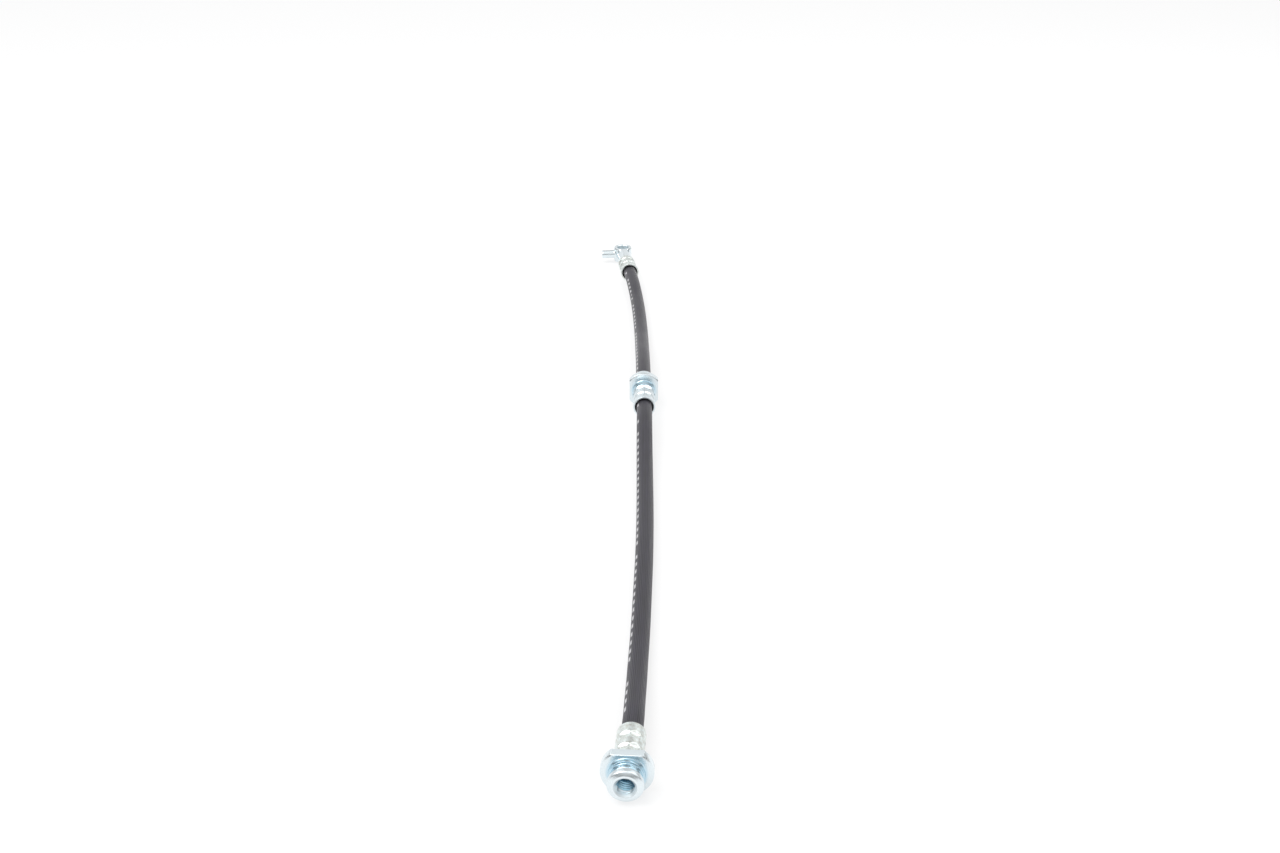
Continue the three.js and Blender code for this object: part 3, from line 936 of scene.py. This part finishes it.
class BRAKEHOSE_OT_bracket_sleeve(bpy.types.Operator):
    """Makes the sleeve that the bracket holds, with its flange and crimped barrel"""

    bl_idname = "brakehose.bracket_sleeve"
    bl_label = "Bracket sleeve"

    def execute(self, context):
        barrel = SLEEVE_SPIGOT + FLANGE_THICKNESS
        inner_crimp = SLEEVE_LENGTH - CRIMP_TO_MOUTH - CRIMP_PITCH
        outline = rounded([
            (SHELL_BORE, 0, 0.35),
            *spigot_outline(SLEEVE_COLLAR, SLEEVE_SEAT),
            (FLANGE_RADIUS, SLEEVE_SPIGOT, 0.25),
            (FLANGE_RADIUS, barrel - FLANGE_EDGE, 0.15),
            (FLANGE_RADIUS - FLANGE_CHAMFER, barrel, 0.12),
            (SLEEVE_NECK_RADIUS, barrel, 0.6),
            (SLEEVE_NECK_RADIUS, inner_crimp, 0.8),
            (SHELL_RADIUS, inner_crimp + 1.5, 0.8),
            *flared_mouth(SLEEVE_LENGTH),
        ])
        rows = split_long(outline, barrel_fineness(SHELL_RADIUS - 0.2, barrel + 1.0))
        crimp = crimps(SLEEVE_LENGTH, SHELL_BORE + 0.8)

        def reshape(radius, along, turn):
            pressed, along = crimp(radius, along, turn)
            return np.where(along > barrel + 1, pressed, radius), along

        cut = flats(0, SLEEVE_SPIGOT, barrel)
        mesh = turned_mesh("bracket_sleeve", rows, SHELL_SIDES, reshape, cut)
        mesh.transform(Matrix.Translation((0, -barrel, 0)))

        # Mask of the deeper blue: partly passivation, partly painted shade on the neck behind the
        # flange, in the clip groove, on the seat and on the flange face round the spigot.
        def film(points):
            radius = np.hypot(points[:, 0], points[:, 2])
            along = points[:, 1] + barrel
            neck = between(along, barrel - 0.4, 0.4, inner_crimp - 1.5, 3.0)
            groove = between(along, SLEEVE_COLLAR, 0.3, SLEEVE_SPIGOT, 0.3)
            inner_face = 1 - step_up(radius, 9.2, 1.6)
            return np.clip(0.5 * (neck + groove) * np.maximum(inner_face, 0.10), 0, 1)

        def dull(points):
            crimped = step_up(points[:, 1] + barrel, inner_crimp - 1.5, 3.0)
            on_flat = np.abs(points[:, 0]) > HALF_FLATS - 0.01
            return np.maximum(0.55 * crimped, on_flat)

        finish = material(plated_steel, context.scene.steel_settings)
        settle(
            "bracket_sleeve_body", mesh, SLEEVE, math.pi, finish,
            ["bracket_sleeve"], film, dull)
        return {"FINISHED"}


def combine(piece, other, operation):
    """Joins or cuts one object with another, and drops the other."""
    modifier = piece.modifiers.new("combine", "BOOLEAN")
    modifier.object = other
    modifier.operation = operation
    modifier.solver = "EXACT"
    apply_modifiers(piece)
    spare = other.data
    bpy.data.objects.remove(other)
    bpy.data.meshes.remove(spare)


def apply_modifiers(piece):
    graph = bpy.context.evaluated_depsgraph_get()
    graph.update()
    mesh = bpy.data.meshes.new_from_object(piece.evaluated_get(graph))
    piece.modifiers.clear()
    spare = piece.data
    piece.data = mesh
    bpy.data.meshes.remove(spare)


def block(name, outline, sides, move=Matrix.Identity(4)):
    """Scratch object of an outline that starts and ends on the axis."""
    mesh = turned_mesh(name, rounded(outline), sides, closed=False)
    mesh.transform(move)
    piece = bpy.data.objects.new(name, mesh)
    bpy.context.scene.collection.objects.link(piece)
    return piece


class BRAKEHOSE_OT_banjo_fitting(bpy.types.Operator):
    """Makes the banjo eye with its neck and locating pin"""

    bl_idname = "brakehose.banjo_fitting"
    bl_label = "Banjo fitting"

    def execute(self, context):
        upright = Matrix.Rotation(math.pi / 2, 4, "X")
        tall = EYE_HALF_HEIGHT + 1.0
        body = block("banjo", [
            (0, -tall, 0), (EYE_RADIUS - 1.0, -tall, 0), (EYE_RADIUS, 1.6 - tall, 0.8),
            (EYE_RADIUS, tall - 1.6, 0.8), (EYE_RADIUS - 1.0, tall, 0), (0, tall, 0),
        ], BANJO_SIDES, upright)
        neck = block("neck", [
            (0, 0, 0), (BANJO_NECK_RADIUS, 0, 0), (BANJO_NECK_RADIUS, BANJO_REACH, 0.5),
            *tail_outline(BANJO_REACH), (0, BANJO_REACH + TAIL_LENGTH, 0),
        ], BANJO_SIDES)
        narrowing = PIN_ROOT_RADIUS - PIN_RADIUS
        root = [
            (PIN_ROOT_RADIUS - narrowing * math.sin(t),
             PIN_ROOT_END - PIN_ROOT_LENGTH * math.cos(t), 0)
            for t in np.linspace(0, math.pi / 2, 12)
        ]
        pin = block("pin", [
            (0, 0, 0), (PIN_ROOT_RADIUS, 0, 0), *root,
            (PIN_RADIUS, PIN_REACH, 0.5), (0, PIN_REACH, 0),
        ], 128, Matrix.Rotation(-math.pi / 2, 4, "Z"))
        combine(body, neck, "UNION")
        combine(body, pin, "UNION")
        self.forge(body)
        self.machine(body)
        mesh = body.data
        bpy.data.objects.remove(body)
        finish = material(plated_steel, context.scene.steel_settings)

        def in_hole(points):
            return np.hypot(points[:, 0], points[:, 1]) < EYE_HOLE_RADIUS + 0.05

        def film(points):
            off_faces = step_up(-np.abs(points[:, 2]), 0.3 - EYE_HALF_HEIGHT, 0.5)
            return np.where(in_hole(points), 0.0, 0.12 * off_faces)

        settle(
            "banjo_body", mesh, BANJO, math.pi, finish, ["banjo_fitting"],
            film, in_hole)
        return {"FINISHED"}

    def forge(self, body):
        """Melts the joints between eye, neck and pin into fillets, as a forging has."""
        remesh = body.modifiers.new("remesh", "REMESH")
        remesh.mode = "VOXEL"
        remesh.voxel_size = FORGING_VOXEL
        apply_modifiers(body)
        shape = bmesh.new()
        shape.from_mesh(body.data)
        for _ in range(FORGING_PASSES):
            bmesh.ops.smooth_vert(
                shape, verts=shape.verts, factor=0.5,
                use_axis_x=True, use_axis_y=True, use_axis_z=True)
        shape.to_mesh(body.data)
        shape.free()

    def machine(self, body):
        """Faces the eye, bores its hole, and drills the neck."""
        half = EYE_HALF_HEIGHT
        past_all = 60
        for sign in (-1, 1):
            face = block("face", [
                (0, half, 0), (past_all, half, 0), (past_all, 3 * half, 0), (0, 3 * half, 0),
            ], 64, Matrix.Rotation(sign * math.pi / 2, 4, "X"))
            combine(body, face, "DIFFERENCE")
        chamfer = 0.4
        wide = EYE_HOLE_RADIUS + half + chamfer
        hole = block("hole", [
            (0, -2 * half, 0), (wide, -2 * half, 0),
            (EYE_HOLE_RADIUS, -half + chamfer, 0.15), (EYE_HOLE_RADIUS, half - chamfer, 0.15),
            (wide, 2 * half, 0), (0, 2 * half, 0),
        ], BANJO_SIDES, Matrix.Rotation(math.pi / 2, 4, "X"))
        combine(body, hole, "DIFFERENCE")
        seat = BANJO_REACH + TAIL_LENGTH - TAIL_BORE_DEPTH
        oilway = block("oilway", [
            (0, 0, 0), (BANJO_OILWAY_RADIUS, 0, 0), (BANJO_OILWAY_RADIUS, seat, 0),
            (TAIL_BORE_RADIUS, seat, 0), (TAIL_BORE_RADIUS, 2 * BANJO_REACH, 0),
            (0, 2 * BANJO_REACH, 0),
        ], 64)
        combine(body, oilway, "DIFFERENCE")


class BRAKEHOSE_OT_inserts(bpy.types.Operator):
    """Gives the two steel inserts inside the hose their finish"""

    bl_idname = "brakehose.inserts"
    bl_label = "Inserts"

    def execute(self, context):
        finish = material(insert_steel)
        for name in ("inlet_insert", "banjo_insert"):
            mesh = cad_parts[name].data
            mesh.materials.clear()
            mesh.materials.append(finish)
        return {"FINISHED"}


OPERATORS = (
    BRAKEHOSE_OT_stage,
    BRAKEHOSE_OT_hose,
    BRAKEHOSE_OT_inlet_fitting,
    BRAKEHOSE_OT_ferrules,
    BRAKEHOSE_OT_bracket_sleeve,
    BRAKEHOSE_OT_banjo_fitting,
    BRAKEHOSE_OT_inserts,
)


class BRAKEHOSE_PT_builder(bpy.types.Panel):
    """Lists the steps that build the brake hose"""

    bl_label = "Brake Hose"
    bl_idname = "BRAKEHOSE_PT_builder"
    bl_space_type = "VIEW_3D"
    bl_region_type = "UI"
    bl_category = "Brake Hose"

    def draw(self, context):
        for group_name, kind in SETTINGS:
            for name in kind.__annotations__:
                self.layout.prop(getattr(context.scene, group_name), name)
        for operator in OPERATORS:
            self.layout.operator(operator.bl_idname)


SETTINGS = (
    ("hose_settings", HoseSettings),
    ("steel_settings", SteelSettings),
    ("stage_settings", StageSettings),
)


def register():
    for name, group in SETTINGS:
        bpy.utils.register_class(group)
        setattr(bpy.types.Scene, name, PointerProperty(type=group))
    for operator in OPERATORS:
        bpy.utils.register_class(operator)
    bpy.utils.register_class(BRAKEHOSE_PT_builder)


def unregister():
    bpy.utils.unregister_class(BRAKEHOSE_PT_builder)
    for operator in reversed(OPERATORS):
        bpy.utils.unregister_class(operator)
    for name, group in reversed(SETTINGS):
        delattr(bpy.types.Scene, name)
        bpy.utils.unregister_class(group)


def main():
    register()
    for operator in OPERATORS:
        group, name = operator.bl_idname.split(".")
        getattr(getattr(bpy.ops, group), name)()


if __name__ == "__main__":
    main()
